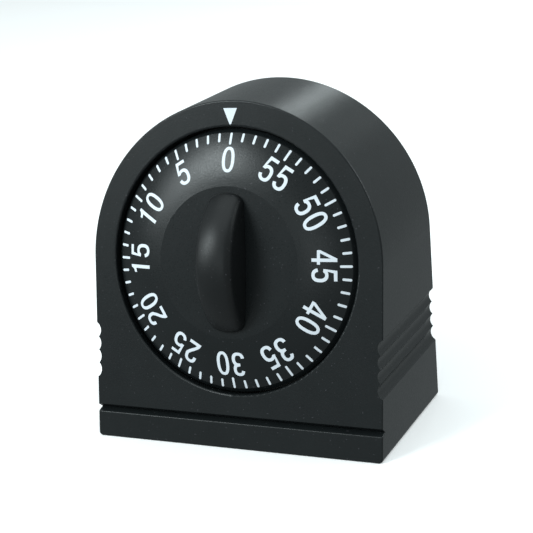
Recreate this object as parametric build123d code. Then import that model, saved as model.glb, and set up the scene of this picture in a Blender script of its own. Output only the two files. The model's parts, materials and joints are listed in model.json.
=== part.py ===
from build123d import *
import math
import os

# A wind-up kitchen timer. Millimetres, +X to the right of someone facing the
# dial, +Y to the back, +Z up. The origin is on the base, at the middle of
# its footprint. Pieces that sit square to the dial are drawn in the dial's
# own frame: p to the right, q up the sloping face, depth inward from the face.

# Case, overall
CASE_WIDTH = 80.0
CASE_DEPTH = 43.6              # front to back, at the base
FACE_LEAN = 12.2               # degrees the front leans back from upright
BACK_LEAN = 2.6                # degrees the back leans out towards its top
ARCH_CENTRE = 47.65            # up the face, from the front bottom edge
SIDE_TAPER = 0.1               # each side wall comes in by this much at the base
CASE_WALL = 2.5
FRONT_WALL = 2.2
BASE_CORNER_R = 1.1
EDGE_R = 0.4

# Dial opening and the well behind it
OPENING_R = 33.6
OPENING_EDGE_R = 0.5
WELL_WALL = 1.85
WELL_DEPTH = 5.0
WELL_FLOOR = 1.5

# Grooves in the case
V_HEIGHT = 7.65                 # up the face, to the deepest line
V_WIDTH = 2.0
V_DEPTH = 1.85
V_LIP_R = 0.3                  # rounding of the groove's lower lip
V_RIB_DEPTH = 2.0
SCALLOP_R = 2.35
SCALLOP_DEPTH = 1.3
SCALLOP_PITCH = 3.36
SCALLOP_COUNT = 4
SCALLOP_FIRST = 17.5

# Rear cover and its screws
COVER_RECESS = 2.0
COVER_T = 2.0
COVER_GAP = 0.15
BOSS_R = 3.2
BOSS_LENGTH = 14.0
BOSS_ABOVE_BASE = 2.5          # from the inside of the base to the lower screws
BOSS_ARCH_ANGLE = 45.0
COVER_SCREW_R = 1.25
COVER_SCREW_LENGTH = 9.0
COVER_HEAD_R = 2.4
COVER_HEAD_T = 1.5
SCREW_CLEARANCE = 0.25
SLOT_W = 2.0
SLOT_LENGTH = 24.0
SLOT_PITCH = 4.5
SLOT_COUNT = 5

# Dial
DIAL_GAP = 0.5                 # between the dial's rim and the opening
DIAL_BEVEL = 1.0
DIAL_EDGE_DEPTH = 0.85           # the dial's rim stands this far behind the face
DIAL_RIM_DEPTH = 3.2
DIAL_T = 1.6
DIAL_RIM_T = 1.5
PLATEAU_R = 19.0
PLATEAU_RISE = 2.5            # above the case's face
DOME_R = 42.7
STOP_INSET = 4.6               # from the opening's edge to the stop pin
STOP_PIN_R = 0.6
STOP_PIN_TOP = 3.0
STOP_RIB_W = 1.2
STOP_RIB_LENGTH = 3.4
STOP_RIB_END = 4.2
STOP_GAP = 0.35                # degrees between rib and pin with the dial at zero

# Grip
GRIP_LENGTH = 34.7
GRIP_W = 9.9                   # at the middle; the long sides bow in towards the ends
GRIP_END_W = 9.1
GRIP_END_SAG = 1.3             # the ends bow out by this much
GRIP_CORNER_R = 2.6
GRIP_RISE = 9.8                # above the dial's plateau
GRIP_ARC_R = 21.2              # of its crest, seen from the side
GRIP_CROWN_R = 12.0            # of its crest, seen from the end
GRIP_EDGE_R = 2.2
GRIP_FLANGE = 1.2
GRIP_FLANGE_T = 1.0
GRIP_FIT = 0.05
HUB_R = 4.9
HUB_GAP = 0.4
ARBOR_BORE_DEPTH = 5.0         # into the grip, above the case's face

# Movement frame
PLATE_T = 1.2
PLATE_SPACE = 11.3
PLATE_HALF_W = 31.5
PLATE_TOP = 23.0
PLATE_BOTTOM = 39.0
PLATE_CORNER_R = 8.0
PILLAR_R = 2.4
PILLAR_STUB_R = 1.25
PILLAR_AT = [(-22.0, 18.5), (22.0, 18.5), (-27.0, -14.0), (25.0, -35.0)]
NUT_R = 2.6
NUT_T = 1.6
MOVEMENT_SCREW_R = 1.2
MOVEMENT_SCREW_HEAD_R = 2.3
MOVEMENT_SCREW_HEAD_T = 1.1
MOVEMENT_SCREW_LENGTH = 7.0
STUD_GAP = 0.05

# Arbors, wheels and pinions: pitch sizes follow from teeth and module
RUN = 0.05                     # radial running clearance of a pivot
END_SHAKE = 0.2
PIVOT_R = 0.5
ARBOR_R = 0.9
MAIN_ARBOR_R = 3.0
MAIN_FRONT_R = 2.0
MAIN_REAR_R = 1.5
D_FLAT = 1.5                   # from the axis to the flat on the front end
GREAT_TEETH, SECOND_TEETH, THIRD_TEETH = 60, 48, 40
PINION_LEAVES = 8
GREAT_MODULE, SECOND_MODULE, THIRD_MODULE = 0.7, 0.6, 0.5
SECOND_DIRECTION, THIRD_DIRECTION, ESCAPE_DIRECTION = -50.0, 205.0, 180.0
ESCAPE_TEETH = 20
ESCAPE_R = 6.0
WHEEL_T = 0.8
GREAT_WHEEL_T = 1.2

# Depths of the layers between the plates, from the case's face
SPRING_FROM, SPRING_W = 8.7, 4.0
CLUTCH_FROM = 12.8
GREAT_FROM = 13.5
COLLAR_T = 1.5
CAM_FROM = 16.9
SECOND_FROM = 15.5
THIRD_FROM = 17.3
FRONT_LAYER = 9.3              # escape wheel, star wheel and hammer tail
PINION_OVER = 0.3              # a pinion's overhang beyond its wheel

# Mainspring
STRIP_T = 0.28
STRIP_TURNS = 6
STRIP_INNER_R = 3.05
STRIP_OUTER_R = 14.6
POST_R = 0.8

# Clutch, cam and escapement
CLUTCH_R = 7.0
CLUTCH_T = 0.25
COLLAR_R = 5.5
CAM_R = 8.0
CAM_NOTCH_DEPTH = 1.6
CAM_NOTCH_W = 3.0
VERGE_FROM_ESCAPE = 9.0
VERGE_DIRECTION = 160.0
PALLET_PIN_R = 0.35
PALLET_GAP = 0.5
PALLET_SPAN = 52.0             # degrees between the two pins, seen from the escape arbor
BALANCE_R = 7.0
BALANCE_RIM_W = 1.4

# Striking work
STAR_TEETH = 12
STAR_R = 4.5
HAMMER_AT = (28.5, -6.0)
HAMMER_HEAD_AT = (23.2, 9.6)
HAMMER_HEAD_R = 2.0
HAMMER_HEAD_LENGTH = 4.0
HAMMER_ARM_W = 2.2
TAIL_GAP = 0.45
LOCK_FINGER_AT = (26.3, 4.4)
LEVER_AT = (12.0, 13.0)
LEVER_NOSE_ANGLE = 75.0
LEVER_NOSE_R = 0.8
LEVER_GAP = 0.3
LEVER_TIP_AT = (24.0, 4.6)
LEVER_W = 2.4
LEVER_T = 0.8
BELL_AT = (0.0, 4.0)
BELL_R = 21.5
BELL_FROM_PLATE = 0.9
BELL_HEIGHT = 5.0
BELL_T = 0.8
BELL_POST_R = 2.2
BELL_SCREW_R = 1.2

# ---- the two frames -------------------------------------------------------
lean = math.radians(FACE_LEAN)
front_y = -CASE_DEPTH / 2
back_y = CASE_DEPTH / 2
face_plane = Plane(origin=(0, front_y, 0), x_dir=(1, 0, 0),
                   z_dir=(0, -math.cos(lean), math.sin(lean)))
dial_plane = Plane(origin=(0, front_y + ARCH_CENTRE * math.sin(lean), ARCH_CENTRE * math.cos(lean)),
                   x_dir=(1, 0, 0), z_dir=(0, -math.cos(lean), math.sin(lean)))
back_plane = Plane(origin=(0, back_y, 0), x_dir=(-1, 0, 0),
                   z_dir=(0, math.cos(math.radians(BACK_LEAN)), -math.sin(math.radians(BACK_LEAN))))
arch_z = ARCH_CENTRE * math.cos(lean)
half_w = CASE_WIDTH / 2

# depths that follow from the sizes above
floor_back = WELL_DEPTH + WELL_FLOOR
front_plate_back = floor_back + PLATE_T
rear_plate_front = front_plate_back + PLATE_SPACE
rear_plate_back = rear_plate_front + PLATE_T
cover_out = COVER_RECESS       # depths of the rear cover, inward from the back
cover_in = COVER_RECESS + COVER_T
dial_r = OPENING_R - DIAL_GAP
stop_r = OPENING_R - STOP_INSET

os.makedirs("parts", exist_ok=True)


def save(name, shape):
    """Write a shape drawn in the part's own frame."""
    export_step(shape, f"parts/{name}.step")


def save_square(name, shape):
    """Write a shape drawn in the dial's frame."""
    save(name, dial_plane.location * shape)


def joined(shapes):
    result = shapes[0]
    for shape in shapes[1:]:
        result = result + shape
    return result


def rod(r, depth_a, depth_b, at=(0, 0)):
    """A cylinder square to the dial between two depths."""
    length = depth_b - depth_a
    low = (Align.CENTER, Align.CENTER, Align.MIN)
    return Pos(at[0], at[1], -depth_b) * Cylinder(r, length, align=low)


def slab(sketch, depth_a, depth_b):
    """A sketch in (p, q) given thickness between two depths."""
    return Pos(0, 0, -depth_b) * extrude(sketch, amount=depth_b - depth_a)


def polar(r, degrees, at=(0, 0)):
    a = math.radians(degrees)
    return (at[0] + r * math.cos(a), at[1] + r * math.sin(a))


def outline(points):
    """A closed flat shape through a list of corners."""
    return make_face(Polyline(*points, close=True))


def bar(a, b, width):
    """A flat link with round ends from a to b."""
    length = math.dist(a, b)
    angle = math.degrees(math.atan2(b[1] - a[1], b[0] - a[0]))
    middle = ((a[0] + b[0]) / 2, (a[1] + b[1]) / 2)
    return Pos(*middle) * Rot(0, 0, angle) * SlotOverall(length + width, width)


def strip(points, thickness):
    """A flat strip of even thickness along a line of points."""
    left, right = [], []
    for i, point in enumerate(points):
        before = points[max(i - 1, 0)]
        after = points[min(i + 1, len(points) - 1)]
        run = math.dist(before, after)
        across = (-(after[1] - before[1]) / run, (after[0] - before[0]) / run)
        left.append((point[0] + across[0] * thickness / 2, point[1] + across[1] * thickness / 2))
        right.append((point[0] - across[0] * thickness / 2, point[1] - across[1] * thickness / 2))
    return outline(left + right[::-1])


# ---- toothed pieces -------------------------------------------------------
# half widths of a tooth as shares of the circular pitch, at its root and
# pitch circle, half way up and at the tip, then its height and depth in modules
WHEEL_TOOTH = (0.24, 0.17, 0.06, 1.0, 1.2)
LEAF = (0.19, 0.16, 0.08, 0.6, 1.4)


def toothed(teeth, module, shape, turn, at):
    """Outline of a wheel or pinion whose first tooth points along turn."""
    wide, middle, tip, high, deep = shape
    pitch_r = teeth * module / 2
    flank = [(-deep, wide), (0, wide), (0.55 * high, middle), (high, tip)]
    points = []
    for i in range(teeth):
        centre = turn + 360 * i / teeth
        for side in (-1, 1):
            for height, half in flank[::-side]:
                angle = side * math.degrees(half * math.pi * module / pitch_r)
                points.append(polar(pitch_r + height * module, centre + angle, at))
    return outline(points)


def crossed(teeth_face, bore, at, hole_r, hole_at, count):
    """A wheel's outline with its bore and a ring of lightening holes."""
    face = teeth_face - Pos(*at) * Circle(bore)
    for i in range(count):
        face -= Pos(*polar(hole_at, 45 + 360 * i / count, at)) * Circle(hole_r)
    return face


# ---- where the arbors stand ----------------------------------------------
great_pitch_r = GREAT_TEETH * GREAT_MODULE / 2
second_pitch_r = SECOND_TEETH * SECOND_MODULE / 2
third_pitch_r = THIRD_TEETH * THIRD_MODULE / 2
main_at = (0, 0)
second_at = polar(great_pitch_r + PINION_LEAVES * GREAT_MODULE / 2, SECOND_DIRECTION, main_at)
third_at = polar(second_pitch_r + PINION_LEAVES * SECOND_MODULE / 2, THIRD_DIRECTION, second_at)
escape_at = polar(third_pitch_r + PINION_LEAVES * THIRD_MODULE / 2, ESCAPE_DIRECTION, third_at)
verge_at = polar(VERGE_FROM_ESCAPE, VERGE_DIRECTION, escape_at)
half_leaf = 180 / PINION_LEAVES


# ---- case -----------------------------------------------------------------
def arch(inset):
    """The case's outline up the sloping face, drawn inset from its outside."""
    r = half_w - inset
    low = r - SIDE_TAPER * (1 - inset / ARCH_CENTRE)
    body = outline([(-low, inset), (low, inset), (r, ARCH_CENTRE), (-r, ARCH_CENTRE)])
    return body + Pos(0, ARCH_CENTRE) * Circle(r)


def swept(face, depth_a, depth_b):
    """An outline on the face carried straight back, kept between two depths from the back."""
    solid = extrude(face_plane * face, amount=3 * CASE_DEPTH, dir=(0, 1, 0))
    low = (Align.CENTER, Align.CENTER, Align.MIN)
    keep = Pos(0, 0, -depth_b) * Box(3 * CASE_WIDTH, 6 * CASE_WIDTH, depth_b - depth_a, align=low)
    return solid & (back_plane.location * keep)


def boss_places():
    """Rear cover screw axes, across and up the back."""
    low_x = half_w - CASE_WALL - BOSS_R + 0.3
    r = half_w - CASE_WALL - BOSS_R
    high = polar(r, BOSS_ARCH_ANGLE, (0, arch_z))
    low_y = CASE_WALL + BOSS_ABOVE_BASE
    return [(low_x, low_y), (-low_x, low_y), high, (-high[0], high[1])]


def along_y(r, y_a, y_b, x, z):
    low = (Align.CENTER, Align.CENTER, Align.MIN)
    return Pos(x, y_b, z) * Rot(90, 0, 0) * Cylinder(r, y_b - y_a, align=low)


def along_back(r, depth_a, depth_b, at):
    """A cylinder square to the back between two depths, in the back's frame."""
    low = (Align.CENTER, Align.CENTER, Align.MIN)
    return Pos(at[0], at[1], -depth_b) * Cylinder(r, depth_b - depth_a, align=low)


def front_casing():
    outer_face = arch(0)
    corners = outer_face.vertices().sort_by(Axis.Y)[0:2]
    outer = swept(fillet(corners, BASE_CORNER_R), 0, 3 * CASE_DEPTH)
    outer = fillet(outer.faces().sort_by(Axis.Y)[0].edges(), EDGE_R)
    outer = fillet(outer.faces().sort_by(Axis.Y)[-1].edges(), EDGE_R)
    hollow = swept(arch(CASE_WALL), -CASE_DEPTH, 3 * CASE_DEPTH)
    wall = dial_plane.location * slab(Rectangle(3 * CASE_WIDTH, 4 * CASE_WIDTH), -1, FRONT_WALL)
    case = (outer - hollow) + (outer & wall)
    # the well that the dial turns in, open to the front, with a floor
    case += dial_plane.location * rod(OPENING_R + WELL_WALL, FRONT_WALL / 2, floor_back)
    case -= dial_plane.location * rod(OPENING_R, -5, WELL_DEPTH)
    rim = [e for e in case.edges().filter_by(GeomType.CIRCLE)
           if abs(e.radius - OPENING_R) < 0.01 and abs(dial_plane.to_local_coords(e.center()).Z) < 0.01]
    case = fillet(rim, OPENING_EDGE_R)
    # a rib behind the front groove, then the groove across the whole front
    rib = Pos(0, V_HEIGHT) * Rectangle(CASE_WIDTH - 2 * CASE_WALL + 1, V_WIDTH + 3.2)
    case += face_plane.location * slab(rib, FRONT_WALL / 2, FRONT_WALL + V_RIB_DEPTH)
    open_half = V_WIDTH / 2 * (V_DEPTH + 1) / V_DEPTH
    vee = outline([(V_HEIGHT - open_half, 1), (V_HEIGHT, -V_DEPTH), (V_HEIGHT + open_half, 1)])
    case -= face_plane.location * (Pos(-CASE_WIDTH, 0, 0) * extrude(Plane.YZ * vee, amount=2 * CASE_WIDTH))
    lip_middle = face_plane.from_local_coords(Vector(0, V_HEIGHT - V_WIDTH / 2, 0))
    lip = [e for e in case.edges() if e.distance_to(lip_middle) < 0.05 and e.length > half_w]
    case = fillet(lip, V_LIP_R)
    # four scallops along each side wall
    for side in (-1, 1):
        for i in range(SCALLOP_COUNT):
            z = SCALLOP_FIRST + i * SCALLOP_PITCH
            wall_x = half_w - SIDE_TAPER * (1 - z / arch_z)
            x = side * (wall_x - SCALLOP_DEPTH + SCALLOP_R)
            case -= along_y(SCALLOP_R, 2 * front_y, 2 * back_y, x, z)
    # bosses for the rear cover's screws
    for at in boss_places():
        boss = back_plane.location * along_back(BOSS_R, cover_in, cover_in + BOSS_LENGTH, at)
        case += boss & outer
    for at in boss_places():
        hole = along_back(COVER_SCREW_R, cover_in - 1, cover_in + COVER_SCREW_LENGTH, at)
        case -= back_plane.location * hole
    # holes in the well's floor for the arbor and the movement's screws
    case -= dial_plane.location * rod(MAIN_FRONT_R + 1.0, WELL_DEPTH - 1, floor_back + 1)
    for at in PILLAR_AT[0:3]:
        case -= dial_plane.location * movement_screw(at, SCREW_CLEARANCE)
    # the pin that stops the dial
    case += dial_plane.location * rod(STOP_PIN_R, STOP_PIN_TOP, WELL_DEPTH + WELL_FLOOR / 2, polar(stop_r, 90))
    return case


def rear_cover():
    cover = swept(arch(CASE_WALL + COVER_GAP), cover_out, cover_in)
    for at in boss_places():
        hole = along_back(COVER_SCREW_R + SCREW_CLEARANCE, -1, cover_in + 1, at)
        cover -= back_plane.location * hole
    for i in range(SLOT_COUNT):
        v = arch_z + (i - (SLOT_COUNT - 1) / 2) * SLOT_PITCH
        slot = Pos(0, v, -cover_in - 1) * extrude(SlotOverall(SLOT_LENGTH, SLOT_W), amount=cover_in + 2)
        cover -= back_plane.location * slot
    return cover


def cover_screws():
    screws = []
    for at in boss_places():
        head = along_back(COVER_HEAD_R, cover_out - COVER_HEAD_T, cover_out, at)
        head = fillet(head.edges().sort_by(Axis.Z)[-1], 0.6)
        screw = head + along_back(COVER_SCREW_R - 0.02, cover_out, cover_in + COVER_SCREW_LENGTH - 0.6, at)
        for turn in (0, 90):
            screw -= Pos(at[0], at[1], COVER_HEAD_T - cover_out) * Rot(0, 0, turn) * Box(2.8, 0.6, 1.6)
        screws += (back_plane.location * screw).solids()
    return Compound(children=screws)


# ---- fastenings of the movement ------------------------------------------
def movement_screw(at, extra):
    """A countersunk screw through the well's floor, or the room it needs."""
    top = WELL_DEPTH + (0.15 if extra == 0 else -1)
    under = WELL_DEPTH + MOVEMENT_SCREW_HEAD_T
    shank = rod(MOVEMENT_SCREW_R + extra, under - 0.2, floor_back + MOVEMENT_SCREW_LENGTH, at)
    cone = Pos(at[0], at[1], -under) * Cone(
        MOVEMENT_SCREW_R + extra, MOVEMENT_SCREW_HEAD_R + extra, under - WELL_DEPTH - (0.15 if extra == 0 else 0),
        align=(Align.CENTER, Align.CENTER, Align.MIN))
    body = shank + cone
    if extra:
        return body + rod(MOVEMENT_SCREW_HEAD_R + extra, top, WELL_DEPTH, at)
    slot = Pos(at[0], at[1], -top) * Box(6, 0.6, 1.0)
    return body - slot


def movement_screws():
    screws = [movement_screw(at, 0) for at in PILLAR_AT[0:3]]
    return Compound(children=[s for screw in screws for s in screw.solids()])


def plate_outline():
    height = PLATE_TOP + PLATE_BOTTOM
    return Pos(0, (PLATE_TOP - PLATE_BOTTOM) / 2) * RectangleRounded(2 * PLATE_HALF_W, height, PLATE_CORNER_R)


def pivot_places():
    return [second_at, third_at, escape_at, verge_at]


def front_plate():
    face = plate_outline()
    for at in pivot_places() + [HAMMER_AT]:
        face -= Pos(*at) * Circle(PIVOT_R + RUN)
    face -= Circle(MAIN_FRONT_R + RUN)
    for at in PILLAR_AT:
        face -= Pos(*at) * Circle(PILLAR_STUB_R + STUD_GAP)
    face -= Pos(*post_at()) * Circle(POST_R * 0.7)
    return slab(face, floor_back, front_plate_back)


def rear_plate():
    face = plate_outline()
    for at in pivot_places():
        face -= Pos(*at) * Circle(PIVOT_R + RUN)
    face -= Circle(MAIN_REAR_R + RUN)
    face -= Pos(*HAMMER_AT) * Circle(ARBOR_R + RUN)
    for at in PILLAR_AT:
        face -= Pos(*at) * Circle(PILLAR_STUB_R + STUD_GAP)
    face -= Pos(*LEVER_AT) * Circle(ARBOR_R)
    face -= Pos(*BELL_AT) * Circle(BELL_SCREW_R)
    face -= Pos(*release_anchor()) * Circle(0.5)
    return slab(face, rear_plate_front, rear_plate_back)


def pillars():
    made = []
    for i, at in enumerate(PILLAR_AT):
        pillar = rod(PILLAR_R, front_plate_back, rear_plate_front, at)
        pillar += rod(PILLAR_STUB_R, rear_plate_front, rear_plate_back + NUT_T + 0.4, at)
        if i < 3:
            pillar -= rod(MOVEMENT_SCREW_R + 0.02, front_plate_back - 1, floor_back + MOVEMENT_SCREW_LENGTH + 1, at)
        else:
            pillar += rod(PILLAR_STUB_R, floor_back, front_plate_back, at)
        made += pillar.solids()
    return Compound(children=made)


def pillar_nuts():
    made = []
    for at in PILLAR_AT:
        face = Pos(*at) * (RegularPolygon(NUT_R, 6) - Circle(PILLAR_STUB_R + STUD_GAP))
        made += slab(face, rear_plate_back, rear_plate_back + NUT_T).solids()
    return Compound(children=made)


# ---- dial -----------------------------------------------------------------
def dome_height(r):
    """Height of the dial's front surface above the case's face, at radius r."""
    face_r = dial_r - DIAL_BEVEL
    rise = PLATEAU_RISE + DIAL_EDGE_DEPTH
    across = face_r - PLATEAU_R
    chord = math.hypot(rise, across)
    tilt = math.atan2(rise, across)
    half = math.asin(chord / 2 / DOME_R)
    middle = ((face_r + PLATEAU_R) / 2, PLATEAU_RISE - rise / 2)
    back = DOME_R * math.cos(half)
    centre = (middle[0] - back * math.sin(tilt), middle[1] - back * math.cos(tilt))
    return centre[1] + math.sqrt(DOME_R ** 2 - (r - centre[0]) ** 2)


def grip_outline(extra):
    x, y = GRIP_END_W / 2, GRIP_LENGTH / 2 - GRIP_END_SAG
    sides = [ThreePointArc((x, -y), (GRIP_W / 2, 0), (x, y)), ThreePointArc((x, y), (0, GRIP_LENGTH / 2), (-x, y)),
             ThreePointArc((-x, y), (-GRIP_W / 2, 0), (-x, -y)), ThreePointArc((-x, -y), (0, -GRIP_LENGTH / 2), (x, -y))]
    shape = make_face(Curve() + sides)
    shape = fillet(shape.vertices(), GRIP_CORNER_R)
    return offset(shape, extra) if extra else shape


def dial_disc():
    face_r = dial_r - DIAL_BEVEL
    middle_r = (PLATEAU_R + face_r) / 2
    inner_r = dial_r - DIAL_RIM_T
    inner_middle = (PLATEAU_R + inner_r) / 2
    low = -DIAL_EDGE_DEPTH - DIAL_BEVEL
    lines = [
        Line((0, PLATEAU_RISE), (PLATEAU_R, PLATEAU_RISE)),
        ThreePointArc((PLATEAU_R, PLATEAU_RISE), (middle_r, dome_height(middle_r)), (face_r, -DIAL_EDGE_DEPTH)),
        Line((face_r, -DIAL_EDGE_DEPTH), (dial_r, low)),
        Line((dial_r, low), (dial_r, -DIAL_RIM_DEPTH)),
        Line((dial_r, -DIAL_RIM_DEPTH), (inner_r, -DIAL_RIM_DEPTH)),
        Line((inner_r, -DIAL_RIM_DEPTH), (inner_r, dome_height(inner_r) - DIAL_T)),
        ThreePointArc((inner_r, dome_height(inner_r) - DIAL_T), (inner_middle, dome_height(inner_middle) - DIAL_T),
                      (PLATEAU_R, PLATEAU_RISE - DIAL_T)),
        Line((PLATEAU_R, PLATEAU_RISE - DIAL_T), (0, PLATEAU_RISE - DIAL_T)),
        Line((0, PLATEAU_RISE - DIAL_T), (0, PLATEAU_RISE)),
    ]
    section = make_face(Curve() + lines)
    disc = revolve(Plane.XZ * section, axis=Axis.Z)
    disc -= slab(grip_outline(GRIP_FIT), -PLATEAU_RISE - 1, DIAL_T)
    # the rib that meets the stop pin, just clear of it with the dial at zero
    clear = math.degrees((STOP_PIN_R + STOP_RIB_W / 2) / stop_r) + STOP_GAP
    top = dome_height(stop_r + STOP_RIB_LENGTH / 2) - DIAL_T / 4
    rib = Rot(0, 0, 90 - clear) * (Pos(stop_r, 0) * Rectangle(STOP_RIB_LENGTH, STOP_RIB_W))
    return disc + slab(rib, -top, STOP_RIB_END)


def grip_knob():
    top = PLATEAU_RISE + GRIP_RISE
    under = -(PLATEAU_RISE - DIAL_T)
    block = slab(grip_outline(0), -top - 1, under + GRIP_FLANGE_T)
    centre = top - GRIP_ARC_R
    edge = top - GRIP_CROWN_R + math.sqrt(GRIP_CROWN_R ** 2 - (GRIP_W / 2 + 1) ** 2)
    w = GRIP_W / 2 + 1
    section = make_face(Curve() + [Line((-w, centre), (w, centre)), Line((w, centre), (w, edge)),
                                   ThreePointArc((w, edge), (0, top), (-w, edge)), Line((-w, edge), (-w, centre))])
    barrel = revolve(Plane.XZ * section, axis=Axis((0, 0, centre), (1, 0, 0)))
    grip = block & barrel
    crest = [e for e in grip.edges() if e.center().Z > PLATEAU_RISE + 0.5 and e.length > GRIP_LENGTH / 2]
    grip = fillet(crest, GRIP_EDGE_R)
    grip += slab(grip_outline(GRIP_FLANGE), under, under + GRIP_FLANGE_T)
    grip += rod(HUB_R, under, WELL_DEPTH - HUB_GAP)
    bore = Circle(MAIN_FRONT_R + 0.03)
    bore -= Pos(0, D_FLAT + 0.03 + MAIN_FRONT_R) * Rectangle(4 * MAIN_FRONT_R, 2 * MAIN_FRONT_R)
    return grip - slab(bore, -ARBOR_BORE_DEPTH - 0.3, WELL_DEPTH)


# ---- main arbor and what it carries --------------------------------------
def main_arbor():
    arbor = rod(MAIN_ARBOR_R, front_plate_back + END_SHAKE, rear_plate_front - END_SHAKE)
    front = Circle(MAIN_FRONT_R) - Pos(0, D_FLAT + MAIN_FRONT_R) * Rectangle(4 * MAIN_FRONT_R, 2 * MAIN_FRONT_R)
    arbor += slab(front, -ARBOR_BORE_DEPTH, WELL_DEPTH)
    arbor += rod(MAIN_FRONT_R, WELL_DEPTH, front_plate_back + END_SHAKE)
    return arbor + rod(MAIN_REAR_R, rear_plate_front - END_SHAKE, rear_plate_back)


def great_wheel():
    face = toothed(GREAT_TEETH, GREAT_MODULE, WHEEL_TOOTH, SECOND_DIRECTION, main_at)
    face = crossed(face, MAIN_ARBOR_R + RUN, main_at, 5.2, great_pitch_r * 0.62, 4)
    return slab(face, GREAT_FROM, GREAT_FROM + GREAT_WHEEL_T)


def clutch_spring():
    """A dished washer that presses the great wheel against the collar."""
    flat = CLUTCH_FROM + 0.1
    section = outline([(MAIN_ARBOR_R + 0.1, -flat), (CLUTCH_R, -(GREAT_FROM - CLUTCH_T)),
                       (CLUTCH_R, -GREAT_FROM), (MAIN_ARBOR_R + 0.1, -flat - CLUTCH_T)])
    return revolve(Plane.XZ * section, axis=Axis.Z)


def clutch_collar():
    at = GREAT_FROM + GREAT_WHEEL_T
    return rod(COLLAR_R, at, at + COLLAR_T) - rod(MAIN_ARBOR_R, at - 1, at + COLLAR_T + 1)


def timing_cam():
    notch = Pos(*polar(CAM_R - CAM_NOTCH_DEPTH + CAM_R / 2, LEVER_NOSE_ANGLE)) * Rot(0, 0, LEVER_NOSE_ANGLE)
    face = Circle(CAM_R) - Circle(MAIN_ARBOR_R)
    face -= notch * Rectangle(CAM_R, CAM_NOTCH_W)
    return slab(face, CAM_FROM, CAM_FROM + WHEEL_T)


def post_at():
    return (-(STRIP_OUTER_R + STRIP_T / 2 + POST_R + 0.05), 0.0)


def mainspring():
    """A flat spiral strip whose inner end reaches the arbor's face."""
    steps = 24 * STRIP_TURNS
    inner, outer = [], []
    for i in range(steps + 1):
        turn = 180 - 360 * STRIP_TURNS * (1 - i / steps)
        r = STRIP_INNER_R + STRIP_T / 2 + (STRIP_OUTER_R - STRIP_INNER_R - STRIP_T / 2) * i / steps
        inner.append(polar(r - STRIP_T / 2, turn))
        outer.append(polar(r + STRIP_T / 2, turn))
    edges = [Spline(*inner), Line(inner[-1], outer[-1]), Spline(*outer[::-1]), Line(outer[0], inner[0])]
    return slab(make_face(Curve() + edges), SPRING_FROM, SPRING_FROM + SPRING_W)


def spring_post():
    post = rod(POST_R, front_plate_back, SPRING_FROM + SPRING_W, post_at())
    return post + rod(POST_R * 0.7, floor_back, front_plate_back, post_at())


# ---- going train ----------------------------------------------------------
def train_arbor(at, module, pinion_from, pinion_to, turn):
    """An arbor with its pivots and a pinion cut on it."""
    arbor = rod(ARBOR_R, front_plate_back + END_SHAKE, rear_plate_front - END_SHAKE, at)
    arbor += rod(PIVOT_R, floor_back + 0.1, rear_plate_back - 0.1, at)
    leaves = toothed(PINION_LEAVES, module, LEAF, turn, at)
    return arbor + slab(leaves, pinion_from, pinion_to)


def train_wheel(teeth, module, turn, at, depth):
    face = toothed(teeth, module, WHEEL_TOOTH, turn, at)
    pitch_r = teeth * module / 2
    face = crossed(face, ARBOR_R, at, pitch_r * 0.27, pitch_r * 0.55, 4)
    return slab(face, depth, depth + WHEEL_T)


def second_arbor():
    turn = SECOND_DIRECTION + 180 + half_leaf
    return train_arbor(second_at, GREAT_MODULE, GREAT_FROM - PINION_OVER, SECOND_FROM, turn)


def third_arbor():
    turn = THIRD_DIRECTION + 180 + half_leaf
    return train_arbor(third_at, SECOND_MODULE, SECOND_FROM - PINION_OVER, THIRD_FROM, turn)


def escape_arbor():
    turn = ESCAPE_DIRECTION + 180 + half_leaf
    return train_arbor(escape_at, THIRD_MODULE, THIRD_FROM - PINION_OVER, THIRD_FROM + WHEEL_T + PINION_OVER, turn)


def ratchet_face(teeth, tip_r, root_r, at, turn):
    """Outline of a wheel of pointed, leaning teeth."""
    points = []
    for i in range(teeth):
        a = turn + 360 * i / teeth
        points += [polar(root_r, a, at), polar(tip_r, a + 90 / teeth, at), polar(tip_r, a + 130 / teeth, at)]
    return outline(points)


def escape_wheel():
    face = ratchet_face(ESCAPE_TEETH, ESCAPE_R, ESCAPE_R - 1.3, escape_at, 0)
    face = crossed(face, ARBOR_R, escape_at, 1.1, 2.9, 4)
    return slab(face, FRONT_LAYER, FRONT_LAYER + WHEEL_T)


def star_wheel():
    face = ratchet_face(STAR_TEETH, STAR_R, STAR_R - 1.5, second_at, 0)
    return slab(face - Pos(*second_at) * Circle(ARBOR_R), FRONT_LAYER, FRONT_LAYER + WHEEL_T)


# ---- verge and balance ----------------------------------------------------
def pallet_places():
    """The two pallet pins, just clear of the escape wheel's tips."""
    back = VERGE_DIRECTION
    r = ESCAPE_R + PALLET_PIN_R + PALLET_GAP
    return [polar(r, back - PALLET_SPAN / 2, escape_at), polar(r, back + PALLET_SPAN / 2, escape_at)]


def verge_arbor():
    arbor = rod(ARBOR_R, front_plate_back + END_SHAKE, rear_plate_front - END_SHAKE, verge_at)
    return arbor + rod(PIVOT_R, floor_back + 0.1, rear_plate_back - 0.1, verge_at)


def pallet_lever():
    face = Pos(*verge_at) * Circle(2.0)
    for place in pallet_places():
        face += bar(verge_at, place, 1.5)
    for place in pallet_places():
        face -= Pos(*place) * Circle(PALLET_PIN_R)
    face -= Pos(*verge_at) * Circle(ARBOR_R)
    at = FRONT_LAYER + WHEEL_T + 0.3
    return slab(face, at, at + WHEEL_T)


def pallet_pins():
    at = FRONT_LAYER + WHEEL_T + 0.3
    pins = [rod(PALLET_PIN_R, FRONT_LAYER - 0.2, at + WHEEL_T, place) for place in pallet_places()]
    return Compound(children=[s for pin in pins for s in pin.solids()])


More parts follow.
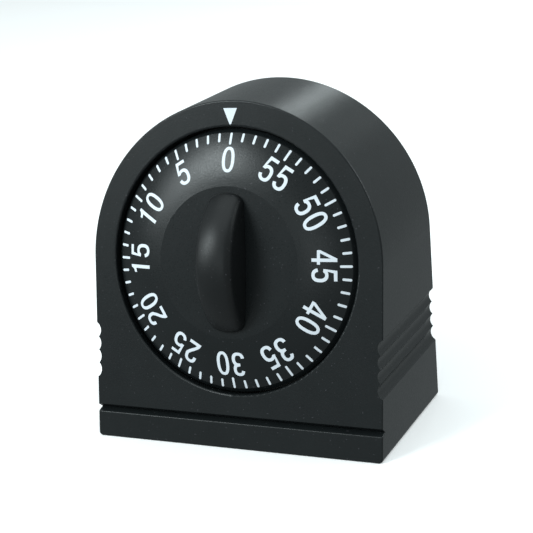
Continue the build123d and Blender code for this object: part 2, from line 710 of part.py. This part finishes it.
def balance_wheel():
    ring = Circle(BALANCE_R) - Circle(BALANCE_R - BALANCE_RIM_W)
    spokes = Rectangle(2 * BALANCE_R - BALANCE_RIM_W, 1.4)
    face = Pos(*verge_at) * (ring + Rot(0, 0, 30) * spokes + Circle(2.0) - Circle(ARBOR_R))
    at = FRONT_LAYER + 2 * WHEEL_T + 0.6
    return slab(face, at, at + 1.0)


# ---- striking work --------------------------------------------------------
def hammer_back():
    return rear_plate_back + 2.0


def hammer_arbor():
    arbor = rod(ARBOR_R, front_plate_back + END_SHAKE, hammer_back() + 1.2, HAMMER_AT)
    return arbor + rod(PIVOT_R, floor_back + 0.1, front_plate_back + END_SHAKE, HAMMER_AT)


def toward(a, b, length):
    run = math.dist(a, b)
    return (a[0] + (b[0] - a[0]) * length / run, a[1] + (b[1] - a[1]) * length / run)


def hammer_tail():
    reach = math.dist(HAMMER_AT, second_at) - STAR_R - TAIL_GAP - 0.6
    face = bar(HAMMER_AT, toward(HAMMER_AT, second_at, reach), 1.2) + Pos(*HAMMER_AT) * Circle(2.0)
    face -= Pos(*HAMMER_AT) * Circle(ARBOR_R)
    return slab(face, FRONT_LAYER, FRONT_LAYER + WHEEL_T)


def lock_finger():
    face = bar(HAMMER_AT, LOCK_FINGER_AT, 2 * LEVER_NOSE_R) + Pos(*HAMMER_AT) * Circle(2.0)
    face -= Pos(*HAMMER_AT) * Circle(ARBOR_R)
    return slab(face, CAM_FROM, CAM_FROM + LEVER_T)


def hammer_arm():
    face = bar(HAMMER_AT, HAMMER_HEAD_AT, HAMMER_ARM_W) + Pos(*HAMMER_AT) * Circle(2.0)
    face -= Pos(*HAMMER_AT) * Circle(ARBOR_R)
    face -= Pos(*HAMMER_HEAD_AT) * Circle(0.8)
    return slab(face, hammer_back(), hammer_back() + 1.0)


def hammer_head():
    at = hammer_back() + 1.0
    head = rod(HAMMER_HEAD_R, at, at + HAMMER_HEAD_LENGTH, HAMMER_HEAD_AT)
    head = chamfer(head.edges().filter_by(GeomType.CIRCLE), 0.3)
    return head + rod(0.8, hammer_back(), at + 0.5, HAMMER_HEAD_AT)


def hammer_spring():
    """A leaf from a notch in the front plate's corner pillar to the tail."""
    end = toward(HAMMER_AT, second_at, 7.0)
    line = [(HAMMER_AT[0] - 2.0, -24.0), (HAMMER_AT[0] - 3.0, -19.0), (end[0] + 1.1, end[1] - 4.0),
            (end[0] + 0.75, end[1] - 0.85)]
    return slab(strip(line, 0.3), FRONT_LAYER, FRONT_LAYER + 1.6)


def hammer_spring_post():
    at = (HAMMER_AT[0] - 2.0 + 0.80, -24.0)
    return rod(0.6, front_plate_back, FRONT_LAYER + 1.6, at)


def lever_stud():
    return rod(ARBOR_R, CAM_FROM - 0.6, rear_plate_back, LEVER_AT) + rod(
        1.8, CAM_FROM + LEVER_T + 0.1, rear_plate_front, LEVER_AT)


def nose_at():
    return polar(CAM_R + LEVER_GAP + LEVER_NOSE_R, LEVER_NOSE_ANGLE)


def release_lever():
    face = bar(LEVER_AT, nose_at(), 2 * LEVER_NOSE_R) + bar(LEVER_AT, LEVER_TIP_AT, 2 * LEVER_NOSE_R)
    face += Pos(*LEVER_AT) * Circle(LEVER_W)
    face -= Pos(*LEVER_AT) * Circle(ARBOR_R + RUN)
    return slab(face, CAM_FROM, CAM_FROM + LEVER_T)


def release_anchor():
    return (LEVER_AT[0] - 4.0, LEVER_AT[1] + 7.5)


def release_spring():
    """A leaf from its anchor to the upper edge of the release lever."""
    start = release_anchor()
    touch = toward(LEVER_AT, nose_at(), 6.0)
    line = [(start[0] + 0.86, start[1]), (start[0] - 1.5, start[1] - 3.0), (touch[0] - 0.6, touch[1] + 1.35)]
    return slab(strip(line, 0.3), CAM_FROM, CAM_FROM + LEVER_T)


def release_spring_pin():
    return rod(0.5, CAM_FROM, rear_plate_back, release_anchor())


def bell():
    """A shallow dished gong with its mouth towards the movement."""
    mouth = -(rear_plate_back + BELL_FROM_PLATE)
    top = mouth - BELL_HEIGHT
    flat = BELL_R - BELL_HEIGHT
    k = math.sqrt(0.5)
    r_in = BELL_HEIGHT - BELL_T
    outer_mid = (flat + BELL_HEIGHT * k, mouth - BELL_HEIGHT * k)
    inner_mid = (flat + r_in * k, mouth - r_in * k)
    lines = [
        Line((BELL_SCREW_R + 0.1, top), (flat, top)),
        ThreePointArc((flat, top), outer_mid, (BELL_R, mouth)),
        Line((BELL_R, mouth), (BELL_R - BELL_T, mouth)),
        ThreePointArc((BELL_R - BELL_T, mouth), inner_mid, (flat, top + BELL_T)),
        Line((flat, top + BELL_T), (BELL_SCREW_R + 0.1, top + BELL_T)),
        Line((BELL_SCREW_R + 0.1, top + BELL_T), (BELL_SCREW_R + 0.1, top)),
    ]
    dish = revolve(Plane.XZ * make_face(Curve() + lines), axis=Axis.Z)
    return Pos(*BELL_AT) * dish


def bell_post():
    under = rear_plate_back + BELL_FROM_PLATE + BELL_HEIGHT - BELL_T
    post = rod(BELL_POST_R, rear_plate_back, under, BELL_AT)
    post += rod(BELL_SCREW_R, rear_plate_front, rear_plate_back, BELL_AT)
    return post - rod(0.9, under - 3, under + 1, BELL_AT)


def bell_screw():
    under = rear_plate_back + BELL_FROM_PLATE + BELL_HEIGHT - BELL_T
    outside = under + BELL_T
    head = rod(2.2, outside, outside + 1.2, BELL_AT) - Pos(*BELL_AT, -outside - 1.2) * Box(6, 0.6, 1.0)
    return head + rod(0.88, under - 2.6, outside, BELL_AT)


def second_wheel():
    return train_wheel(SECOND_TEETH, SECOND_MODULE, THIRD_DIRECTION, second_at, SECOND_FROM)


def third_wheel():
    return train_wheel(THIRD_TEETH, THIRD_MODULE, ESCAPE_DIRECTION, third_at, THIRD_FROM)


upright = [front_casing, rear_cover, cover_screws]
square = [
    movement_screws, front_plate, rear_plate, pillars, pillar_nuts, dial_disc, grip_knob, main_arbor,
    great_wheel, clutch_spring, clutch_collar, timing_cam, mainspring, spring_post, second_arbor,
    second_wheel, star_wheel, third_arbor, third_wheel, escape_arbor, escape_wheel, verge_arbor,
    pallet_lever, pallet_pins, balance_wheel, hammer_arbor, hammer_tail, lock_finger, hammer_arm,
    hammer_head, hammer_spring, hammer_spring_post, lever_stud, release_lever, release_spring,
    release_spring_pin, bell, bell_post, bell_screw,
]
for make in upright:
    save(make.__name__, make())
for make in square:
    save_square(make.__name__, make())
print(len(upright) + len(square), "pieces")
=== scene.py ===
import json
import math

import bpy
from mathutils import Matrix, Vector


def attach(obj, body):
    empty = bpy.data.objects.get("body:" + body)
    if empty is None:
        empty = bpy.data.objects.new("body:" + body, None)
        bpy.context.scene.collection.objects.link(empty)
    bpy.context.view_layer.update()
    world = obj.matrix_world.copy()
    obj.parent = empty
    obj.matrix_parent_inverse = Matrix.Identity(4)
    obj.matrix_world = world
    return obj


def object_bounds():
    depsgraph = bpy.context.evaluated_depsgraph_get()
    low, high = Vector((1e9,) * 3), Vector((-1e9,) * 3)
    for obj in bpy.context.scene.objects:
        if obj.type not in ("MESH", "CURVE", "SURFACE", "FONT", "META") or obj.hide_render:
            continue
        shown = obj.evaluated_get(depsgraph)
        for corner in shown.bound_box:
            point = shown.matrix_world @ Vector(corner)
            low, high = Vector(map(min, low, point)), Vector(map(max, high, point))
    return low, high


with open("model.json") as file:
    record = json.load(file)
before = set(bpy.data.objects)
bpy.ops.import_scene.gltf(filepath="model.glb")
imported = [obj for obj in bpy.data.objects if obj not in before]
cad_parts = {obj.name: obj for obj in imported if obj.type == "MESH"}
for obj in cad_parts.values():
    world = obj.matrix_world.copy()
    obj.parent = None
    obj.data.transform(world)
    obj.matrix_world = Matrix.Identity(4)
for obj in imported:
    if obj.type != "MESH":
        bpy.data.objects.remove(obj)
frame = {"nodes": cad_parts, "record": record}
cad_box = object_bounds()
nodes = frame["nodes"]
MM = 0.001


# Front casing: one ABS moulding, front wall, arch and base, spark-eroded all over.
# The fine sparkle grain is in the tool, so it is even, with slight flow clouding.
class Wire:
    """A node's output. Sums written on it add their own nodes."""

    def __init__(self, tree, socket):
        self.tree, self.socket = tree, socket

    def node(self, kind, settings=None, inputs=None, output=0):
        made = self.tree.nodes.new("ShaderNode" + kind)
        for name, value in (settings or {}).items():
            setattr(made, name, value)
        for name, value in (inputs or {}).items():
            if isinstance(value, Wire):
                self.tree.links.new(value.socket, made.inputs[name])
            else:
                made.inputs[name].default_value = value
        return Wire(self.tree, made.outputs[output])

    def maths(self, operation, first, second):
        return self.node("Math", {"operation": operation}, {0: first, 1: second})

    def __add__(self, other):
        return self.maths("ADD", self, other)

    def __sub__(self, other):
        return self.maths("SUBTRACT", self, other)

    def __rsub__(self, other):
        return self.maths("SUBTRACT", other, self)

    def __mul__(self, other):
        return self.maths("MULTIPLY", self, other)

    __radd__, __rmul__ = __add__, __mul__

    def noise(self, size, detail=2.0, stretch=(1, 1, 1)):
        """Noise whose blotches are about that size, in metres."""
        scaled = self.node("Mapping", {}, {"Vector": self, "Scale": [s / size for s in stretch]})
        return scaled.node("TexNoise", {}, {"Vector": scaled, "Scale": 1.0, "Detail": detail})

    def blend(self, low, high):
        """A colour between two, by this value."""
        ends = [end if isinstance(end, Wire) else (*end, 1) for end in (low, high)]
        return self.node("Mix", {"data_type": "RGBA"}, {0: self, 6: ends[0], 7: ends[1]}, 2)


def material(name, fixed):
    """A material, its shader, and the place on the piece that its patterns read."""
    made = bpy.data.materials.new(name)
    made.use_nodes = True
    tree = made.node_tree
    shader = tree.nodes["Principled BSDF"]
    for socket, value in fixed.items():
        shader.inputs[socket].default_value = value
    place = Wire(tree, tree.nodes.new("ShaderNodeTexCoord").outputs["Object"])

    def feed(socket, wire):
        tree.links.new(wire.socket, shader.inputs[socket])

    return made, place, feed


def bump(height, depth):
    return height.node("Bump", {}, {"Height": height, "Distance": depth, "Strength": 1.0})


def moulded_plastic(name, dark, light, gloss, grain, fixed):
    """Black plastic: clouded colour, spark-eroded grain, a few pale specks of dust."""
    made, place, feed = material(name, fixed)
    cloud = place.noise(9 * MM, 3.0)
    sparkle = 0.6 * place.noise(0.45 * MM, 1.0) + 0.4 * place.noise(0.2 * MM, 1.0)
    dust = place.maths("GREATER_THAN", place.noise(0.5 * MM, 0.0), 0.82)
    feed("Base Color", dust.blend(cloud.blend(dark, light), (0.04, 0.04, 0.045)))
    feed("Roughness", gloss + 0.06 * (cloud - 0.5) + 0.22 * (sparkle - 0.5))
    feed("Normal", bump(sparkle, grain))
    return made


def give(material_made, *names):
    for name in names:
        for place in nodes[name].material_slots:
            place.material = material_made


DEEP_BLACK, PALER_BLACK = (0.0068, 0.0086, 0.0092), (0.0092, 0.0114, 0.0122)
SOFT_SHEEN = {"Specular IOR Level": 0.25}
case_plastic = moulded_plastic("case plastic", DEEP_BLACK, PALER_BLACK, 0.33, 0.03 * MM, SOFT_SHEEN)
give(case_plastic, "front_casing")


# Pointer: a white triangle pad-printed on the case, point down at the dial opening.
# The face's own directions come from the dial's axis, which stands square to the face.
dial_joint = next(j for j in frame["record"]["behaviour"]["joints"] if j["name"] == "dial_turn")
outward = -Vector(dial_joint["axis"])
across = Vector((1, 0, 0))
up_face = outward.cross(across)
front_edge = Vector((0, cad_box[0][1], 0))
axis_place = Vector(dial_joint["pos_m"])
dial_centre = axis_place - outward * (axis_place - front_edge).dot(outward)
on_face = Matrix.Translation(dial_centre) @ Matrix((across, up_face, outward)).transposed().to_4x4()
MARK_TOP = 38.1 * MM          # from the dial's axis, up the face
MARK_TIP = 33.65 * MM
MARK_HALF = 1.87 * MM
INK_PROUD = 0.035 * MM
INK_SUNK = 0.015 * MM


def flat_shape(name, outlines):
    """A flat mesh filled inside closed outlines, an outline within another being a hole."""
    curve = bpy.data.curves.new(name, "CURVE")
    curve.dimensions, curve.fill_mode = "2D", "BOTH"
    for points in outlines:
        spline = curve.splines.new("POLY")
        spline.points.add(len(points) - 1)
        for point, (x, y) in zip(spline.points, points):
            point.co = (x, y, 0, 1)
        spline.use_cyclic_u = True
    shape = bpy.data.objects.new(name, curve)
    bpy.context.scene.collection.objects.link(shape)
    pick(shape)
    bpy.ops.object.convert(target="MESH")
    return bpy.context.object


def pick(*objects):
    bpy.ops.object.select_all(action="DESELECT")
    for each in objects:
        each.select_set(True)
    bpy.context.view_layer.objects.active = objects[0]


def cut_fine(shape, step):
    """Cuts a flat shape along a square grid, so that it can follow a curved face."""
    low, high = (Vector(shape.bound_box[i]) for i in (0, 6))
    pick(shape)
    bpy.ops.object.mode_set(mode="EDIT")
    for along, normal in ((0, (1, 0, 0)), (1, (0, 1, 0))):
        first = math.ceil(low[along] / step + 0.01)
        for i in range(first, math.ceil(high[along] / step - 0.01)):
            place = [0, 0, 0]
            place[along] = i * step
            bpy.ops.mesh.select_all(action="SELECT")
            bpy.ops.mesh.bisect(plane_co=place, plane_no=normal)
    bpy.ops.mesh.select_all(action="SELECT")
    bpy.ops.mesh.remove_doubles(threshold=0.001 * MM)
    bpy.ops.object.mode_set(mode="OBJECT")


def print_on(shape, printed_node, clear=20 * MM):
    """Lays a flat shape, drawn round the dial's axis, on a node's outer face as a film of ink."""
    target = nodes[printed_node]
    for point in shape.data.vertices:
        above = on_face @ (point.co + Vector((0, 0, clear)))
        hit, where, _, _ = target.ray_cast(above, -outward)
        point.co = where + outward * INK_PROUD
    pick(shape)
    film = shape.modifiers.new("ink", "SOLIDIFY")
    film.thickness, film.offset = INK_PROUD + INK_SUNK, -1
    bpy.ops.object.modifier_apply(modifier=film.name)
    bpy.ops.object.mode_set(mode="EDIT")
    bpy.ops.mesh.select_all(action="SELECT")
    bpy.ops.mesh.normals_make_consistent(inside=False)
    bpy.ops.object.mode_set(mode="OBJECT")


white_ink, place, feed = material("white ink", {"Specular IOR Level": 0.4})
patchy = place.noise(1.1 * MM, 2.0)
feed("Base Color", patchy.blend((0.72, 0.78, 0.85), (0.84, 0.88, 0.93)))
feed("Roughness", 0.55 + 0.2 * (patchy - 0.5))
feed("Normal", bump(place.noise(0.2 * MM), 0.006 * MM))

mark = flat_shape("pointer_mark", [[(-MARK_HALF, MARK_TOP), (0, MARK_TIP), (MARK_HALF, MARK_TOP)]])
cut_fine(mark, 0.9 * MM)
print_on(mark, "front_casing")
mark.data.materials.append(white_ink)
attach(mark, "case")


# Dial disc: a shallow dome moulded in the same black plastic, a little smoother than the case.
dial_plastic = moulded_plastic("dial plastic", DEEP_BLACK, PALER_BLACK, 0.30, 0.018 * MM, SOFT_SHEEN)
give(dial_plastic, "dial_disc")


# Minute marks: sixty white strokes printed round the dial's rim, every fifth one longer.
# Each has round ends, as a pad print leaves them.
STROKE_OUTER = 32.05 * MM
LONG_INNER, SHORT_INNER = 29.15 * MM, 29.85 * MM
STROKE_WIDTH = 0.62 * MM
MINUTES = 60


def stroke(minute):
    inner = SHORT_INNER if minute % 5 else LONG_INNER
    bpy.ops.object.select_all(action="DESELECT")
    bpy.ops.mesh.primitive_plane_add(size=1)
    made = bpy.context.object
    bpy.ops.object.mode_set(mode="EDIT")
    bpy.ops.transform.resize(value=(STROKE_WIDTH, STROKE_OUTER - inner, 1))
    bpy.ops.transform.translate(value=(0, (STROKE_OUTER + inner) / 2, 0))
    bpy.ops.mesh.bevel(offset=STROKE_WIDTH * 0.45, segments=4, affect="VERTICES")
    bpy.ops.object.mode_set(mode="OBJECT")
    cut_fine(made, 0.7 * MM)
    made.data.transform(Matrix.Rotation(math.radians(360 / MINUTES * minute), 4, "Z"))
    return made


marks = [stroke(minute) for minute in range(MINUTES)]
pick(*marks)
bpy.ops.object.join()
marks[0].name = "minute_marks"
print_on(marks[0], "dial_disc")
marks[0].data.materials.append(white_ink)
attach(marks[0], "dial")


# Numerals: the minutes in fives, running anticlockwise, printed with their tops outward.
# Each digit is drawn as its own outline, in millimetres, with its foot on the line y = 0.
DIGIT_HEIGHT = 6.1
DIGIT_PITCH = 4.35
NUMERAL_FOOT = 22.45


def bow(x, y, wide, high, start, end, power=2.35):
    """Points along a squarish oval, between two angles."""
    steps = max(2, round(abs(end - start) / 12))
    points = []
    for i in range(steps + 1):
        angle = math.radians(start + (end - start) * i / steps)
        c, s = math.cos(angle), math.sin(angle)
        points.append((x + wide * math.copysign(abs(c) ** (2 / power), c),
                       y + high * math.copysign(abs(s) ** (2 / power), s)))
    return points


DIGITS = {
    "0": [bow(0, 3.05, 1.70, 3.13, 0, 348), bow(0, 3.05, 0.86, 2.38, 0, 348)],
    "1": [[(0.62, 0), (0.62, 6.1), (-0.02, 6.1), (-0.22, 5.62), (-0.62, 5.24), (-1.30, 5.0),
           (-1.30, 4.32), (-0.24, 4.55), (-0.24, 0)]],
    "2": [bow(0, 4.38, 1.64, 1.76, 186, -22) + [(1.12, 3.02), (0.50, 2.26), (-0.28, 1.46), (-0.60, 0.82),
          (1.66, 0.82), (1.66, 0), (-1.70, 0), (-1.60, 0.72), (-1.22, 1.46), (-0.50, 2.36), (0.34, 3.26)]
          + bow(0, 4.38, 0.80, 1.00, -28, 186)],
    "3": [bow(-0.02, 4.52, 1.52, 1.62, 172, -36) + bow(-0.02, 1.76, 1.72, 1.80, 48, -170)
          + bow(-0.02, 1.76, 0.86, 1.04, -170, 78) + [(-0.48, 2.80), (-0.48, 3.54)]
          + bow(-0.02, 4.52, 0.70, 0.88, -78, 172)],
    "4": [[(0.24, 0), (1.06, 0), (1.06, 1.32), (1.74, 1.32), (1.74, 2.06), (1.06, 2.06), (1.06, 6.1),
           (0.22, 6.1), (-1.76, 2.16), (-1.76, 1.32), (0.24, 1.32)],
          [(0.24, 2.06), (0.24, 4.62), (-1.04, 2.06)]],
    "5": [[(1.42, 6.1), (-1.16, 6.1), (-1.58, 2.86), (-0.84, 2.80)]
          + bow(-0.04, 2.0, 0.87, 1.26, 138, -166)
          + bow(-0.04, 2.0, 1.72, 2.04, -166, 118) + [(-0.54, 5.30), (1.42, 5.30)]],
}


def digit(character, shift, turn):
    outlines = [[((x + shift) * MM, (y + NUMERAL_FOOT) * MM) for x, y in line]
                for line in DIGITS[character]]
    made = flat_shape("digit", outlines)
    cut_fine(made, 0.75 * MM)
    made.data.transform(Matrix.Rotation(math.radians(turn), 4, "Z"))
    return made


digits = []
for minute in range(0, MINUTES, 5):
    text = str(minute)
    for i, character in enumerate(text):
        shift = (i - (len(text) - 1) / 2) * DIGIT_PITCH
        digits.append(digit(character, shift, 360 / MINUTES * minute))
pick(*digits)
bpy.ops.object.join()
numerals = digits[0]
numerals.name = "minute_numerals"
print_on(numerals, "dial_disc")
numerals.data.materials.append(white_ink)
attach(numerals, "dial")


# Grip: the winding handle, moulded apart from the disc and pushed up through it.
# Duller than the disc, with a finer grain, in the same black plastic.
grip_plastic = moulded_plastic(
    "grip plastic", (0.0072, 0.0082, 0.0088), (0.0095, 0.0106, 0.0112), 0.40, 0.010 * MM,
    SOFT_SHEEN)
give(grip_plastic, "grip_knob")


# Rear cover: a flat moulding let into the back, with slots that let the bell's sound out.
cover_plastic = moulded_plastic(
    "cover plastic", (0.0070, 0.0080, 0.0086), (0.0092, 0.0104, 0.0112), 0.40, 0.022 * MM,
    SOFT_SHEEN)
give(cover_plastic, "rear_cover")


# Screws and nuts: zinc-plated steel, pale, with the slightly yellow bloom of passivation.
def metal(name, dark, light, rough, grain_size, stretch, depth, fixed=None):
    """Bare metal with a grain that runs one way and a soft clouding."""
    made, place, feed = material(name, {"Metallic": 1.0, **(fixed or {})})
    grain = place.noise(grain_size, 2.0, stretch)
    cloud = place.noise(4 * MM, 3.0)
    feed("Base Color", (0.6 * cloud + 0.4 * grain).blend(dark, light))
    feed("Roughness", rough + 0.14 * (grain - 0.5) + 0.12 * (cloud - 0.5))
    feed("Normal", bump(grain, depth))
    return made


EVEN = (1, 1, 1)
zinc = metal("zinc plate", (0.42, 0.42, 0.40), (0.66, 0.67, 0.66), 0.34, 0.3 * MM, EVEN, 0.004 * MM)
give(zinc, "cover_screws", "movement_screws", "pillar_nuts", "bell_screw")


# Movement plates and levers: rolled steel sheet, blanked, with the rolling grain across it.
rolled_steel = metal("rolled steel", (0.40, 0.41, 0.42), (0.62, 0.63, 0.64), 0.36, 0.12 * MM,
                     (0.05, 1, 1), 0.003 * MM)
give(rolled_steel, "front_plate", "rear_plate", "release_lever", "hammer_arm", "lock_finger",
     "hammer_tail")


# Arbors, pillars and posts: free-cutting steel turned on an automatic lathe, fine rings round it.
turned_steel, place, feed = material("turned steel", {"Metallic": 1.0})
depth_in = place.node("VectorMath", {"operation": "DOT_PRODUCT"},
                      {0: place, 1: dial_joint["axis"]}, "Value")
rings = place.maths("SINE", depth_in * (2 * math.pi / (0.12 * MM)), 0)
oiled = place.noise(1.5 * MM, 3.0)
feed("Base Color", oiled.blend((0.36, 0.37, 0.38), (0.56, 0.57, 0.58)))
feed("Roughness", 0.26 + 0.14 * (oiled - 0.5) + 0.03 * rings)
feed("Normal", bump(rings, 0.002 * MM))
give(turned_steel, "pillars", "spring_post", "hammer_spring_post", "lever_stud",
     "release_spring_pin", "bell_post", "main_arbor", "second_arbor", "third_arbor",
     "escape_arbor", "verge_arbor", "hammer_arbor", "pallet_pins", "hammer_head", "clutch_collar")


# Springs: hardened carbon steel, blued in the furnace, straw colour showing in places.
blued, place, feed = material("blued spring", {"Metallic": 1.0})
temper = place.noise(3 * MM, 3.0)
feed("Base Color", temper.blend((0.10, 0.13, 0.22), (0.30, 0.31, 0.33)))
feed("Roughness", 0.3 + 0.2 * (temper - 0.5))
feed("Normal", bump(place.noise(0.15 * MM), 0.002 * MM))
give(blued, "mainspring", "hammer_spring", "release_spring", "clutch_spring")


# Wheels, cam and pallets: stamped brass, a little tarnished away from the teeth.
brass = metal("stamped brass", (0.52, 0.36, 0.13), (0.78, 0.60, 0.28), 0.32, 0.15 * MM,
              (1, 0.08, 1), 0.003 * MM)
give(brass, "great_wheel", "timing_cam", "second_wheel", "star_wheel", "third_wheel",
     "escape_wheel", "pallet_lever", "balance_wheel")


# Bell: pressed from sheet steel and nickel plated, the brightest thing behind the slots.
nickel = metal("nickel plate", (0.58, 0.56, 0.53), (0.74, 0.72, 0.69), 0.20, 0.6 * MM, EVEN, 0.002 * MM)
give(nickel, "bell")


# Floor: a plain pale sheet, far wider than the view, with a faint glow that keeps it white to
# its far edge. The case doesn't see it, so its black stays black underneath.
FLOOR_SIZE = 8
FLOOR_GLOW = 0.22
WHITE = (1, 1, 1, 1)
bpy.ops.object.select_all(action="DESELECT")
bpy.ops.mesh.primitive_plane_add(size=1)
floor = bpy.context.object
floor.name = "floor"
bpy.ops.object.mode_set(mode="EDIT")
bpy.ops.transform.resize(value=(FLOOR_SIZE, FLOOR_SIZE, 1))
bpy.ops.transform.translate(value=(0, 0, cad_box[0][2] - 0.02 * MM))
bpy.ops.object.mode_set(mode="OBJECT")
pale, place, feed = material("pale floor", {
    "Specular IOR Level": 0.1, "Emission Color": WHITE, "Emission Strength": FLOOR_GLOW})
feed("Base Color", place.noise(0.4, 1.0).blend((0.90, 0.90, 0.90), (0.92, 0.92, 0.92)))
feed("Roughness", 0.8 + 0.05 * place.noise(0.01, 1.0))
floor.data.materials.append(pale)
floor.visible_diffuse = floor.visible_glossy = False


# Studio light: a wide soft sheet overhead, small boxes at the front left and the right,
# two faint ones behind for the streak along the arch, and a grey room.
DAYLIGHT = (0.89, 0.985, 1.0)
ROOM_STRENGTH = 0.452


def softbox(name, place, target, wide, high, power):
    bpy.ops.object.light_add(type="AREA", location=place)
    lamp = bpy.context.object
    lamp.name = name
    lamp.rotation_euler = (Vector(target) - Vector(place)).to_track_quat("-Z", "Y").to_euler()
    lamp.data.shape = "RECTANGLE"
    lamp.data.size, lamp.data.size_y = wide, high
    lamp.data.energy = power
    lamp.data.color = DAYLIGHT


middle = (Vector(cad_box[0]) + Vector(cad_box[1])) / 2
softbox("overhead", (0.0, -0.1, 1.9), middle, 2.2, 2.2, 17.76)
softbox("key_low", (-0.6, -0.62, 0.36), middle, 0.26, 0.26, 1.8)
softbox("key", (-0.46, -0.62, 0.56), middle, 0.26, 0.26, 4.22)
softbox("behind", (0.2, 0.85, 0.5), middle, 0.12, 0.25, 0.06)
softbox("behind_left", (-0.12, 0.85, 0.5), middle, 0.12, 0.25, 0.4)
softbox("window", (0.02, -0.95, 0.22), middle, 0.35, 0.25, 0.54)
softbox("right", (0.9, 0.5, 0.7), middle, 0.5, 0.5, 5.93)
world = bpy.data.worlds.new("studio")
world.use_nodes = True
room = world.node_tree.nodes["Background"].inputs
room["Color"].default_value = (*DAYLIGHT, 1)
room["Strength"].default_value = ROOM_STRENGTH
bpy.context.scene.world = world


# Camera: a little right of the dial and above it, close, held with a slight tilt.
CAMERA_PLACE = (157.7 * MM, -311.0 * MM, 150.6 * MM)
CAMERA_TURN, CAMERA_DROP, CAMERA_ROLL = (math.radians(d) for d in (26.358, 17.426, -5.966))
LENS = 95.95
ahead = Vector((-math.sin(CAMERA_TURN) * math.cos(CAMERA_DROP),
                math.cos(CAMERA_TURN) * math.cos(CAMERA_DROP), -math.sin(CAMERA_DROP)))
level = Vector((math.cos(CAMERA_TURN), math.sin(CAMERA_TURN), 0))
top = level.cross(ahead)
right = level * math.cos(CAMERA_ROLL) + top * math.sin(CAMERA_ROLL)
up = top * math.cos(CAMERA_ROLL) - level * math.sin(CAMERA_ROLL)
bpy.ops.object.camera_add(location=CAMERA_PLACE)
camera = bpy.context.object
camera.rotation_euler = Matrix((right, up, -ahead)).transposed().to_euler()
camera.data.lens = LENS
camera.data.clip_start = 0.01
bpy.context.scene.camera = camera
bpy.context.scene.view_settings.view_transform = "Standard"
